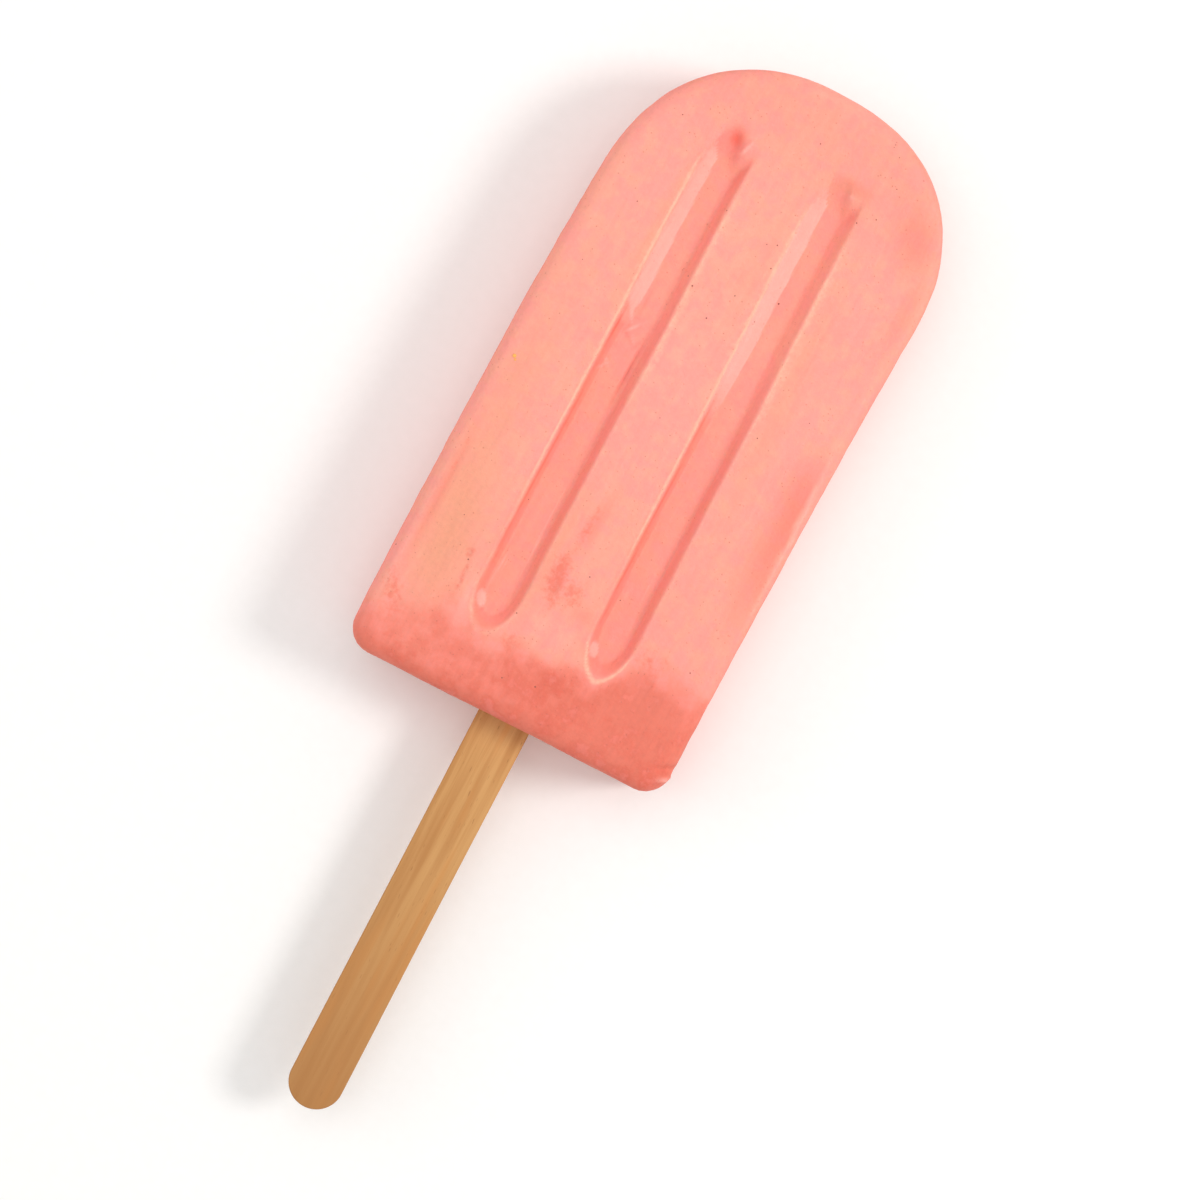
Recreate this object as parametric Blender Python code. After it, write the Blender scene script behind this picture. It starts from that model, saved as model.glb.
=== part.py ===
"""Ice pop: a bar of frozen fruit ice, grooved on both faces, on a flat wooden stick.

Metres. X runs across the bar, Y runs from the stick to the rounded tip, and Z is up from
the surface that the bar's back lies on. The origin is the middle of that back.
"""

import math

import bmesh
import bpy
from mathutils import Matrix, Vector

# The frozen bar, as its mould makes it.
BAR_LENGTH = 0.1188
BAR_WIDTH = 0.0594
BAR_THICKNESS = 0.022
ARCH_HEIGHT = 0.0305       # how far below the tip the bar reaches its full width
ARCH_POWER = 2.3           # 2 is an ellipse, and more is squarer at the shoulders
CORNER_RADIUS = 0.0044     # the two corners at the stick's end, seen from the front
EDGE_RADIUS = 0.0034       # the rounding between each face and the side wall

# What a real bar has of its own, after it has slumped a little and been pulled out.
TIP_SHIFT = 0.0017         # how far the tip sits to +X of the bar's middle line
LEAN_LENGTH = 0.055        # that shift fades out over this length below the tip
LEAN_POWER = 1.2
BASE_SLOPE = math.tan(math.radians(1.28))   # the stick's end is cut off at this slope
BASE_PINCH = 0.0007        # the side at -X runs in by this much at the stick's end
PINCH_POWER = 6

# The grooves, two on each face. A groove is the track of a ball sunk partly into the face.
GROOVE_WIDTH = 0.0081
GROOVE_DEPTH = 0.0024
# For each one: X of its middle, depth of its two ends below the tip, and lean in degrees.
GROOVES = [
    (-0.01035, 0.0142, 0.1075, 0.7),
    (0.00977, 0.0138, 0.1052, 1.2),
]

# A nick in the front edge, just above the corner at +X: the track of a small flat ball.
NICK_X = 0.0289
NICK_HEIGHT = 0.0056       # above the stick's end of the bar
NICK_SUNK = 0.0010         # its middle is this far below the front face
NICK_HALF_SIZES = (0.0021, 0.0008, 0.0013)
NICK_TURN = math.radians(40)

# The flat stick, a standard size, 9.5 mm wide and 2 mm thick.
STICK_LENGTH = 0.114
STICK_WIDTH = 0.0095
STICK_THICKNESS = 0.002
STICK_OUT = 0.0734         # the length that shows below the bar
STICK_X = 0.0009           # X of its middle where it leaves the bar
STICK_LEAN = math.radians(0.88)
STICK_EDGE = 0.00025       # its edges are barely broken
STICK_GAP = 0.0003         # room all round it in the ice, so that the solids don't touch

# Fineness of the facets.
ARCH_STEPS = 56
CORNER_STEPS = 8
SIDE_STEPS = 10
EDGE_SEGMENTS = 6
BALL_SEGMENTS = 32
BALL_RINGS = 16
STICK_END_STEPS = 16

ICE_COLOUR = (0.94, 0.39, 0.29, 1.0)
WOOD_COLOUR = (0.60, 0.34, 0.13, 1.0)

BASE_Y = -BAR_LENGTH / 2
TIP_Y = BAR_LENGTH / 2


def clear_scene():
    for obj in list(bpy.data.objects):
        bpy.data.objects.remove(obj, do_unlink=True)


def surface(name, colour, roughness):
    """A plain Principled material, with its colour in linear values."""
    material = bpy.data.materials.new(name)
    material.use_nodes = True
    shader = material.node_tree.nodes["Principled BSDF"]
    shader.inputs["Base Color"].default_value = colour
    shader.inputs["Roughness"].default_value = roughness
    shader.inputs["Metallic"].default_value = 0.0
    return material


def object_from(bm, name, material=None):
    """A linked object that holds the bmesh, shaded smooth but for its sharp edges."""
    bmesh.ops.recalc_face_normals(bm, faces=bm.faces)
    mesh = bpy.data.meshes.new(name)
    bm.to_mesh(mesh)
    bm.free()
    mesh.shade_smooth()
    mesh.set_sharp_from_angle(angle=math.radians(35))
    obj = bpy.data.objects.new(name, mesh)
    if material:
        mesh.materials.append(material)
    bpy.context.scene.collection.objects.link(obj)
    return obj


def hide_cutter(obj):
    obj.hide_render = True
    obj.display_type = "WIRE"
    return obj


def cut(target, cutter):
    modifier = target.modifiers.new("cut " + cutter.name, "BOOLEAN")
    modifier.operation = "DIFFERENCE"
    modifier.solver = "EXACT"
    modifier.object = hide_cutter(cutter)


def arc(centre_x, centre_y, radius, start, end, steps):
    """Points on an arc from one angle to the other, both ends included."""
    angles = [start + (end - start) * i / steps for i in range(steps + 1)]
    return [(centre_x + radius * math.cos(a), centre_y + radius * math.sin(a)) for a in angles]


def slumped(x, y):
    """Moves a point of the mould's true outline to where it lies on the real bar."""
    below_tip = TIP_Y - y
    up = max(0.0, 1.0 - below_tip / LEAN_LENGTH)
    down = max(0.0, (below_tip - ARCH_HEIGHT) / (BAR_LENGTH - ARCH_HEIGHT))
    pinch = max(0.0, -x / (BAR_WIDTH / 2)) * BASE_PINCH * down**PINCH_POWER
    return x + TIP_SHIFT * up**LEAN_POWER + pinch, y + BASE_SLOPE * x * down


def bar_outline():
    """The outline seen from the front, counter-clockwise, from the corner at +X."""
    half = BAR_WIDTH / 2
    shoulder_y = TIP_Y - ARCH_HEIGHT
    corner_x = half - CORNER_RADIUS
    corner_y = BASE_Y + CORNER_RADIUS

    points = arc(corner_x, corner_y, CORNER_RADIUS, -math.pi / 2, 0, CORNER_STEPS)
    side = [corner_y + (shoulder_y - corner_y) * i / SIDE_STEPS for i in range(1, SIDE_STEPS)]
    points += [(half, y) for y in side]
    for i in range(ARCH_STEPS + 1):
        angle = math.pi * i / ARCH_STEPS
        across = math.copysign(abs(math.cos(angle)) ** (2 / ARCH_POWER), math.cos(angle))
        along = max(0.0, math.sin(angle)) ** (2 / ARCH_POWER)
        points.append((half * across, shoulder_y + ARCH_HEIGHT * along))
    points += [(-half, y) for y in reversed(side)]
    points += arc(-corner_x, corner_y, CORNER_RADIUS, math.pi, math.pi * 1.5, CORNER_STEPS)
    return [slumped(x, y) for x, y in points]


def stick_outline(width, length):
    """A strip with half-round ends, centred on the origin, its length along Y."""
    radius = width / 2
    end_y = length / 2 - radius
    points = arc(0, end_y, radius, 0, math.pi, STICK_END_STEPS)
    points += arc(0, -end_y, radius, math.pi, 2 * math.pi, STICK_END_STEPS)
    return points


def slab(points, bottom, top):
    """A closed bmesh slab: the outline drawn at the bottom height, raised to the top."""
    bm = bmesh.new()
    face = bm.faces.new([bm.verts.new((x, y, bottom)) for x, y in points])
    raised = bmesh.ops.extrude_face_region(bm, geom=[face])
    moved = [item for item in raised["geom"] if isinstance(item, bmesh.types.BMVert)]
    bmesh.ops.translate(bm, vec=Vector((0, 0, top - bottom)), verts=moved)
    return bm


def round_edges(obj, width, segments):
    """Rounds the edges between the flat faces and the side wall."""
    modifier = obj.modifiers.new("round edges", "BEVEL")
    modifier.width = width
    modifier.segments = segments
    modifier.limit_method = "ANGLE"
    modifier.angle_limit = math.radians(60)
    modifier.use_clamp_overlap = False


def groove_cutter(name, x, top_below_tip, bottom_below_tip, lean, face_z, outward):
    """A ball drawn out into a capsule, sunk into the face at face_z."""
    half_width = GROOVE_WIDTH / 2
    radius = (half_width**2 + GROOVE_DEPTH**2) / (2 * GROOVE_DEPTH)
    # The track of the ball's centre stops short, so that the groove's ends fall in place.
    half_track = (bottom_below_tip - top_below_tip) / 2 - half_width
    middle_y = TIP_Y - (top_below_tip + bottom_below_tip) / 2

    bm = bmesh.new()
    bmesh.ops.create_uvsphere(
        bm,
        u_segments=BALL_SEGMENTS,
        v_segments=BALL_RINGS,
        radius=radius,
        matrix=Matrix.Rotation(math.pi / 2, 4, "X"),
    )
    # The ball is split at its equator, its halves move apart, and a tube joins them.
    equator = [edge for edge in bm.edges if all(abs(vert.co.y) < 1e-7 for vert in edge.verts)]
    bmesh.ops.split_edges(bm, edges=equator)
    for vert in bm.verts:
        side = sum(face.calc_center_median().y for face in vert.link_faces)
        vert.co.y += math.copysign(half_track, side)
    rims = [edge for edge in bm.edges if edge.is_boundary]
    bmesh.ops.bridge_loops(bm, edges=rims)

    cutter = object_from(bm, name)
    cutter.location = (x, middle_y, face_z + outward * (radius - GROOVE_DEPTH))
    cutter.rotation_euler = (0, 0, math.radians(lean))
    return cutter


def nick_cutter():
    bm = bmesh.new()
    bmesh.ops.create_uvsphere(
        bm,
        u_segments=BALL_SEGMENTS // 2,
        v_segments=BALL_RINGS // 2,
        radius=1.0,
        matrix=Matrix.Diagonal((*NICK_HALF_SIZES, 1.0)),
    )
    cutter = object_from(bm, "nick")
    cutter.location = (NICK_X, BASE_Y + NICK_HEIGHT, BAR_THICKNESS - NICK_SUNK)
    cutter.rotation_euler = (0, 0, NICK_TURN)
    return cutter


def stick_matrix():
    """The stick's centre and lean. It turns about the point where it leaves the bar."""
    mouth = Vector((STICK_X, BASE_Y, BAR_THICKNESS / 2))
    centre_from_mouth = Vector((0, STICK_LENGTH / 2 - STICK_OUT, 0))
    turn = Matrix.Rotation(STICK_LEAN, 4, "Z")
    return Matrix.Translation(mouth) @ turn @ Matrix.Translation(centre_from_mouth)


def make_bar():
    ice = surface("ice", ICE_COLOUR, 0.55)
    bar = object_from(slab(bar_outline(), 0.0, BAR_THICKNESS), "ice_bar", ice)
    round_edges(bar, EDGE_RADIUS, EDGE_SEGMENTS)
    for side, face_z, outward in (("back", 0.0, -1), ("front", BAR_THICKNESS, 1)):
        for number, groove in enumerate(GROOVES, 1):
            cut(bar, groove_cutter(f"groove_{side}_{number}", *groove, face_z, outward))
    cut(bar, nick_cutter())

    width = STICK_WIDTH + 2 * STICK_GAP
    length = STICK_LENGTH + 2 * STICK_GAP
    half_thickness = STICK_THICKNESS / 2 + STICK_GAP
    slot = object_from(slab(stick_outline(width, length), -half_thickness, half_thickness), "slot")
    slot.matrix_world = stick_matrix()
    cut(bar, slot)
    return bar


def make_stick():
    wood = surface("wood", WOOD_COLOUR, 0.6)
    half_thickness = STICK_THICKNESS / 2
    body = slab(stick_outline(STICK_WIDTH, STICK_LENGTH), -half_thickness, half_thickness)
    stick = object_from(body, "stick", wood)
    stick.matrix_world = stick_matrix()
    round_edges(stick, STICK_EDGE, 1)
    return stick


clear_scene()
make_bar()
make_stick()
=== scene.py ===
# %% [markdown]
# # A fruit ice pop on its wooden stick
#
# This lesson builds the looks of an ice pop around a finished model of its solids. The pop is
# two real things: a bar of frozen fruit ice, pressed by its mould into a rounded tip and two
# long grooves, and a flat birch stick that the ice froze onto.
#
# The solids come in first as a fixed frame. They say where everything is and how big it is, so
# every piece below is made in the same place, in metres, with nothing fitted by eye.

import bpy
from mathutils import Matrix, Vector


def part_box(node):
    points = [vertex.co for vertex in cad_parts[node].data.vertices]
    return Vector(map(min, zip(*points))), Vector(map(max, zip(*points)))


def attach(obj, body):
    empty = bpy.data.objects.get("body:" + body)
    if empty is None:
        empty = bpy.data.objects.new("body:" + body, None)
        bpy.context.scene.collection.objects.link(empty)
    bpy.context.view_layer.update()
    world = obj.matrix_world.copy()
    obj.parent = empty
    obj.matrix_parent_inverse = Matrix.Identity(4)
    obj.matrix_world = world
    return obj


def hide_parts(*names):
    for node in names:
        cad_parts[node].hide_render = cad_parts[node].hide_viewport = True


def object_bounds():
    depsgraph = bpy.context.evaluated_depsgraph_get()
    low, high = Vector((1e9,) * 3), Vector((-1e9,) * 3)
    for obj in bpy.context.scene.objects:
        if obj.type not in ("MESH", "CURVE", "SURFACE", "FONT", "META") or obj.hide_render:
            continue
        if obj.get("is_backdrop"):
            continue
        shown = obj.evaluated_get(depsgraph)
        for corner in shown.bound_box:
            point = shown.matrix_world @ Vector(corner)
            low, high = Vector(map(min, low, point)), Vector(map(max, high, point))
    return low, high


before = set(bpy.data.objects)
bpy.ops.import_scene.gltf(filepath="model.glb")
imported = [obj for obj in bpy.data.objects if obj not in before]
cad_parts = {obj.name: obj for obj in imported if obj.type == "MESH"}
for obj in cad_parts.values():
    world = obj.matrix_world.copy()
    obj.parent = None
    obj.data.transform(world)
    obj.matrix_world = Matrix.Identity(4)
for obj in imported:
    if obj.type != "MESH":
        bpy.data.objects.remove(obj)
solid_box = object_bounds()

# %% [markdown]
# ## Measure before making
#
# A maker works in millimetres, and Blender's unit is the metre, so lengths below are in
# millimetres until a mesh is written. The bar's own box gives its half width, its tip and its
# thickness. The origin is the middle of its back: X is across, Y points at the tip, Z is up.

# %% Sizes from the frame
import math

import bpy
import numpy as np
from mathutils import Matrix, Vector
from mathutils.bvhtree import BVHTree

MM = 0.001
bar_low, bar_high = (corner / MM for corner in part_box("ice_bar"))
stick_low, stick_high = (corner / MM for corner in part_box("stick"))
HALF_WIDTH = -bar_low.x
TIP_Y = bar_high.y
BASE_Y = -TIP_Y
THICK = bar_high.z - bar_low.z
print(f"bar: {2 * HALF_WIDTH:.1f} wide, {2 * TIP_Y:.1f} long, {THICK:.1f} thick, in mm")
print(f"stick: z {stick_low.z:.1f} to {stick_high.z:.1f}, end at y {stick_low.y:.1f}")

# %% [markdown]
# ## The camera
#
# The pop lies on its back and the camera hangs straight above it, turned a little so that the
# pop leans across the picture. A long lens from over half a metre keeps its sides parallel.
# The camera looks at a point below the middle of the bar, which leaves room for the stick.

# %% Hang the camera
LENS = 100.0
SENSOR = 36.0
VIEW_WIDTH = 200.0  # what the picture takes in, across, at the bar's upper edge
VIEW_TURN = math.radians(28.4)
VIEW_X = 5.4
VIEW_BELOW_TIP = 93.25
EDGE_Z = 18.6  # the height of the bar's outline as seen from above


def put_in_scene(name, data):
    made = bpy.data.objects.new(name, data)
    bpy.context.scene.collection.objects.link(made)
    return made


camera_height = EDGE_Z + VIEW_WIDTH * LENS / SENSOR
camera_data = bpy.data.cameras.new("camera")
camera_data.lens = LENS
camera_data.sensor_width = SENSOR
camera_data.clip_start = 0.01
camera = put_in_scene("camera", camera_data)
camera.location = Vector((VIEW_X, TIP_Y - VIEW_BELOW_TIP, camera_height)) * MM
camera.rotation_euler = (0, 0, VIEW_TURN)
bpy.context.scene.camera = camera
print(f"camera {camera_height:.0f} mm above the table")

# %% [markdown]
# ## Light and table
#
# Frozen fruit ice is dull, so its shape only shows where the light is uneven. One soft light
# comes from the bar's +X side and a little from its tip: it catches the groove walls that face
# it and leaves the others in shade. A wide weak one from the other side opens those shadows, a
# third hangs overhead, and a pale sky does the rest. The table is a plain near-white sheet.

# %% Lights
COOL = (0.98, 0.99, 1.0)
LIGHTS = [
    # Name, direction, distance and size in metres, power in watts, colour.
    ("side_light", (0.70, 0.30, 0.78), 0.9, 0.26, 3.1, (1.0, 0.985, 0.96)),
    ("fill_light", (-0.80, -0.10, 0.62), 1.1, 0.9, 1.3, COOL),
    ("top_light", (-0.10, 0.1, 1.0), 1.1, 0.9, 2.5, COOL),
]
SKY_COLOUR = (1.0, 0.99, 0.98, 1.0)
SKY_STRENGTH = 0.66


def soft_light(name, toward, distance, size, power, colour):
    """A round area light, aimed at the middle of the bar from the direction given."""
    data = bpy.data.lights.new(name, "AREA")
    data.shape = "DISK"
    data.size = size
    data.energy = power
    data.color = colour
    light = put_in_scene(name, data)
    away = Vector(toward).normalized()
    light.location = away * distance
    light.rotation_euler = away.to_track_quat("Z", "Y").to_euler()


for light in LIGHTS:
    soft_light(*light)

sky = bpy.data.worlds.new("sky")
sky.use_nodes = True
backdrop = sky.node_tree.nodes["Background"]
backdrop.inputs["Color"].default_value = SKY_COLOUR
backdrop.inputs["Strength"].default_value = SKY_STRENGTH
bpy.context.scene.world = sky
bpy.context.scene.view_settings.view_transform = "Standard"

# %% [markdown]
# ## A small kit for materials
#
# Every finish here is procedural: noise at several sizes, in the object's own coordinates, so
# nothing is painted or loaded. These helpers only save typing. `node` adds one and sets its
# inputs, and an input may be a plain value or another node's output.

# %% Material helpers
def new_material(name):
    material = bpy.data.materials.new(name)
    material.use_nodes = True
    return material, material.node_tree, material.node_tree.nodes["Principled BSDF"]


def node(tree, kind, settings=None, **inputs):
    """Adds a node. Keywords name its inputs, with _ for a space, and settings its options."""
    made = tree.nodes.new(kind)
    for key, value in (settings or {}).items():
        setattr(made, key, value)
    for key, value in inputs.items():
        plug(tree, made.inputs[key.replace("_", " ")], value)
    return made


def plug(tree, socket, value):
    if isinstance(value, bpy.types.NodeSocket):
        tree.links.new(value, socket)
    else:
        socket.default_value = value


def math_node(tree, operation, first, second=0.0, third=0.0, clamp=False):
    made = tree.nodes.new("ShaderNodeMath")
    made.operation = operation
    made.use_clamp = clamp
    for socket, value in zip(made.inputs, (first, second, third)):
        plug(tree, socket, value)
    return made.outputs[0]


def times(tree, first, second):
    return math_node(tree, "MULTIPLY", first, second)


def times_plus(tree, first, factor, added):
    return math_node(tree, "MULTIPLY_ADD", first, factor, added)


def mix_colour(tree, amount, first, second, blend="MIX"):
    made = node(tree, "ShaderNodeMix", {"data_type": "RGBA", "blend_type": blend})
    plug(tree, made.inputs["Factor"], amount)
    plug(tree, made.inputs[6], first)
    plug(tree, made.inputs[7], second)
    return made.outputs[2]


def layered(tree, colour, layers):
    """Lays each colour over what is below it, by its own amount."""
    for amount, over in layers:
        colour = mix_colour(tree, amount, colour, over)
    return colour


def grain(tree, position, size, detail=3.0, roughness=0.55, stretch=(1, 1, 1)):
    """Noise whose blotches are about `size` millimetres across, stretched along the axes."""
    shrink = tuple(1.0 / (size * MM * s) for s in stretch)
    mapped = node(tree, "ShaderNodeMapping", Vector=position, Scale=shrink)
    noise = node(
        tree, "ShaderNodeTexNoise", Vector=mapped.outputs[0], Scale=1.0, Detail=detail, Roughness=roughness
    )
    return noise.outputs["Fac"]


def ramp(tree, amount, low, high):
    """0 below `low`, 1 above `high`, and smooth between."""
    made = node(tree, "ShaderNodeMapRange", {"interpolation_type": "SMOOTHSTEP"})
    plug(tree, made.inputs["Value"], amount)
    made.inputs["From Min"].default_value = low
    made.inputs["From Max"].default_value = high
    return made.outputs["Result"]


def srgb(red, green, blue):
    """A colour read off a chart in 0-255 steps, as the linear values that a shader takes."""
    def linear(step):
        share = step / 255
        return share / 12.92 if share <= 0.04045 else ((share + 0.055) / 1.055) ** 2.4
    return (linear(red), linear(green), linear(blue), 1.0)


print("material helpers ready")

# %% [markdown]
# ## The outline of the mould
#
# Seen from the front the mould is an arch on straight sides, with two small corners at the
# stick's end. The arch is a superellipse: with power 2 it would be an ellipse, and a little
# more than 2 gives it the fuller shoulders of a real ice mould.
#
# The outline could be one bezier curve, but its rim has to be rolled over later, and for that
# each point needs the direction that faces out. So it is made as four runs of close points:
# along the base, up one side, over the arch and down the other side.

# %% The outline, as four runs
ARCH_HEIGHT = 30.5
ARCH_POWER = 2.3
CORNER_RADIUS = 4.4
FINE = 400


def arc_points(centre_x, centre_y, start, end):
    angle = np.radians(np.linspace(start, end, FINE))
    return np.stack([centre_x + CORNER_RADIUS * np.cos(angle), centre_y + CORNER_RADIUS * np.sin(angle)], 1)


def arch_points(start, end):
    angle = np.radians(np.linspace(start, end, FINE))
    across = np.sign(np.cos(angle)) * np.abs(np.cos(angle)) ** (2 / ARCH_POWER)
    along = np.abs(np.sin(angle)) ** (2 / ARCH_POWER)
    return np.stack([HALF_WIDTH * across, TIP_Y - ARCH_HEIGHT + ARCH_HEIGHT * along], 1)


def straight_points(start, end):
    return np.linspace(start, end, FINE)


corner_x = HALF_WIDTH - CORNER_RADIUS
corner_y = BASE_Y + CORNER_RADIUS
shoulder_y = TIP_Y - ARCH_HEIGHT
RUNS = {
    "base": [arc_points(-corner_x, corner_y, 225, 270),
             straight_points((-corner_x, BASE_Y), (corner_x, BASE_Y)),
             arc_points(corner_x, corner_y, 270, 315)],
    "right": [arc_points(corner_x, corner_y, 315, 360),
              straight_points((HALF_WIDTH, corner_y), (HALF_WIDTH, shoulder_y)),
              arch_points(0, 45)],
    "arch": [arch_points(45, 135)],
    "left": [arch_points(135, 180),
             straight_points((-HALF_WIDTH, shoulder_y), (-HALF_WIDTH, corner_y)),
             arc_points(-corner_x, corner_y, 180, 225)],
}


def outline_with_normals():
    """Each run as (points, unit vectors that face out), its repeated points dropped."""
    whole, counts = [], []
    for pieces in RUNS.values():
        joined = np.concatenate([pieces[0]] + [piece[1:] for piece in pieces[1:]])
        whole.append(joined[:-1])
        counts.append(len(joined) - 1)
    points = np.concatenate(whole)
    step = np.roll(points, -1, 0) - np.roll(points, 1, 0)
    facing = np.stack([step[:, 1], -step[:, 0]], 1)
    facing /= np.linalg.norm(facing, axis=1)[:, None]
    ends = np.cumsum([0] + counts)
    runs = {}
    for name, start, end in zip(RUNS, ends[:-1], ends[1:]):
        picked = np.arange(start, end + 1) % len(points)
        runs[name] = (points[picked], facing[picked])
    return runs


outline = outline_with_normals()
print("outline points:", {name: len(run[0]) for name, run in outline.items()})

# %% [markdown]
# ## One skin of small squares
#
# The bar could be an extruded outline with a bevel, but then there is nothing to press the
# grooves into. A skin of half-millimetre squares can be pushed about like clay. It has a face
# in front, a face at the back, and rings of squares round the side between them.
#
# Each face is a patch between the four runs: a point inside it is the blend of the four edges
# around it, which is called a Coons patch. Columns are set closer together where the grooves
# will be, as a modeller adds edge loops where a form turns.

# %% Where the columns and rows of squares go
ROWS = 236
COLUMNS = 132
GROOVE_ZONES = ((-16.0, -5.0), (3.6, 15.8))
RIM_FACE = 3.3  # how far in from the outline each face stops being flat
RIM_BASE = 4.2  # the same along the base, which is rounder
RIM_STEPS = 9
WALL_STEPS = 13


def column_places():
    """Shares from 0 to 1 across the bar, closer together inside the groove zones."""
    across = np.linspace(-HALF_WIDTH + RIM_FACE, HALF_WIDTH - RIM_FACE, 2000)
    crowd = np.ones_like(across)
    for low, high in GROOVE_ZONES:
        crowd += 0.7 * (np.tanh((across - low) / 0.8) - np.tanh((across - high) / 0.8))
    filled = np.cumsum(crowd)
    filled = (filled - filled[0]) / (filled[-1] - filled[0])
    return np.interp(np.linspace(0, 1, COLUMNS + 1), filled, np.linspace(0, 1, 2000))


def ease(low, high, value):
    """0 at `low`, 1 at `high` and smooth between. `low` may be the larger of the two."""
    share = np.clip((value - low) / (high - low), 0, 1)
    return share * share * (3 - 2 * share)


def rim_width(points):
    near_base = ease(BASE_Y + 9.0, BASE_Y + 3.0, points[:, 1])
    return RIM_FACE + (RIM_BASE - RIM_FACE) * near_base


def spread(run, shares):
    """Points of a run at equal shares of its length along the middle of the rim, and normals."""
    points, facing = run
    middle = points - facing * rim_width(points)[:, None] * 0.5
    length = np.concatenate([[0], np.cumsum(np.linalg.norm(np.diff(middle, axis=0), axis=1))])
    at = shares * length[-1]
    picked = [np.interp(at, length, values[:, i]) for values in (points, facing) for i in (0, 1)]
    normals = np.stack(picked[2:], 1)
    return np.stack(picked[:2], 1), normals / np.linalg.norm(normals, axis=1)[:, None]


columns = column_places()
rows = np.linspace(0, 1, ROWS + 1)
edges = {
    "base": spread(outline["base"], columns),
    "right": spread(outline["right"], rows),
    "arch": spread(outline["arch"], 1 - columns[::-1]),
    "left": spread(outline["left"], rows),
}
loop_points = np.concatenate([edges[name][0][:-1] for name in edges])
loop_normals = np.concatenate([edges[name][1][:-1] for name in edges])
loop_rim = rim_width(loop_points)[:, None]
print(f"{COLUMNS} x {ROWS} squares on each face, {len(loop_points)} round the side")

# %% [markdown]
# Now the patch itself. Its corners lie on smooth parts of the rim, where four edges meet at
# hardly any angle, so the squares there start out pinched. A few dozen rounds of moving every
# point to the middle of its neighbours, across and along, spreads them out again.

# %% Fill the faces
RELAX_ROUNDS = 60
RELAX_ROWS = 70

face_edge = {}
for name, (points, facing) in edges.items():
    face_edge[name] = points - facing * rim_width(points)[:, None]


def face_patch():
    base, right = face_edge["base"], face_edge["right"]
    arch, left = face_edge["arch"][::-1], face_edge["left"][::-1]
    u = columns[None, :, None]
    v = rows[:, None, None]
    between_ends = (1 - v) * base[None] + v * arch[None]
    between_sides = (1 - u) * left[:, None] + u * right[:, None]
    corners = ((1 - v) * ((1 - u) * base[0] + u * base[-1]) + v * ((1 - u) * arch[0] + u * arch[-1]))
    return between_ends + between_sides - corners


def relax(patch, rounds, top_rows):
    """Evens out the squares in the topmost rows, where the arch squeezes them."""
    hold = ease(ROWS - top_rows, ROWS - top_rows * 0.6, np.arange(ROWS + 1))[1:-1, None, None]
    for _ in range(rounds):
        around = patch[:-2, 1:-1] + patch[2:, 1:-1] + patch[1:-1, :-2] + patch[1:-1, 2:]
        patch[1:-1, 1:-1] += hold * (around / 4 - patch[1:-1, 1:-1])
    return patch


patch = relax(face_patch(), RELAX_ROUNDS, RELAX_ROWS)
grid = np.arange((ROWS + 1) * (COLUMNS + 1)).reshape(ROWS + 1, COLUMNS + 1)
rim_order = np.concatenate([grid[0, :-1], grid[:-1, -1], grid[-1, :0:-1], grid[:0:-1, 0]])
squares = (patch[:-1, 1:] - patch[:-1, :-1]), (patch[1:, :-1] - patch[:-1, :-1])
areas = squares[0][..., 0] * squares[1][..., 1] - squares[0][..., 1] * squares[1][..., 0]
print(f"squares from {areas.min():.3f} to {areas.max():.3f} mm2, none turned over: {bool((areas > 0).all())}")

# %% [markdown]
# ## Roll the rim over and close the side
#
# Rings of points run round the bar from the front face's edge to the back face's. Through
# the first few the direction turns from straight up to straight out, a quarter circle. Then
# they drop down the wall, and roll under in the same way.

# %% Stack the rings
def ring_levels():
    """For each ring: how far it lies in from the outline in rims, its height, and its tilt."""
    levels = []
    roll = np.radians(np.linspace(0, 90, RIM_STEPS + 1))
    for angle in roll[1:]:
        levels.append((1 - math.sin(angle), THICK - RIM_FACE * (1 - math.cos(angle)), angle))
    for share in np.linspace(0, 1, WALL_STEPS + 1)[1:]:
        levels.append((0.0, THICK - RIM_FACE - share * (THICK - 2 * RIM_FACE), math.pi / 2))
    for angle in roll[-2:0:-1]:
        levels.append((1 - math.sin(angle), RIM_FACE * (1 - math.cos(angle)), math.pi - angle))
    return levels


flat = patch.reshape(-1, 2)
flats = len(flat)
points = [np.column_stack([flat, np.full(flats, THICK)])]
facing = [np.tile((0.0, 0.0, 1.0), (flats, 1))]
for inset, height, tilt in ring_levels():
    ring = loop_points - loop_normals * loop_rim * inset
    points.append(np.column_stack([ring, np.full(len(ring), height)]))
    facing.append(np.column_stack([loop_normals * math.sin(tilt), np.full(len(ring), math.cos(tilt))]))
points.append(np.column_stack([flat, np.zeros(flats)]))
facing.append(np.tile((0.0, 0.0, -1.0), (flats, 1)))
ring_count = len(points) - 2
skin = np.concatenate(points)
skin_facing = np.concatenate(facing)
print(f"{ring_count} rings, {len(skin)} points in the skin")


# %% Join the squares
def skin_faces():
    quads = np.stack([grid[:-1, :-1], grid[:-1, 1:], grid[1:, 1:], grid[1:, :-1]], -1).reshape(-1, 4)
    around = len(loop_points)
    back_start = flats + ring_count * around
    loops = [rim_order] + [flats + k * around + np.arange(around) for k in range(ring_count)]
    loops.append(rim_order + back_start)
    faces = [quads, quads[:, ::-1] + back_start]
    for upper, lower in zip(loops[:-1], loops[1:]):
        faces.append(np.stack([upper, lower, np.roll(lower, -1), np.roll(upper, -1)], -1))
    return np.concatenate(faces)


skin_quads = skin_faces()
print(f"{len(skin_quads)} squares, {2 * len(skin_quads)} triangles once the bar is exported")

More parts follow.
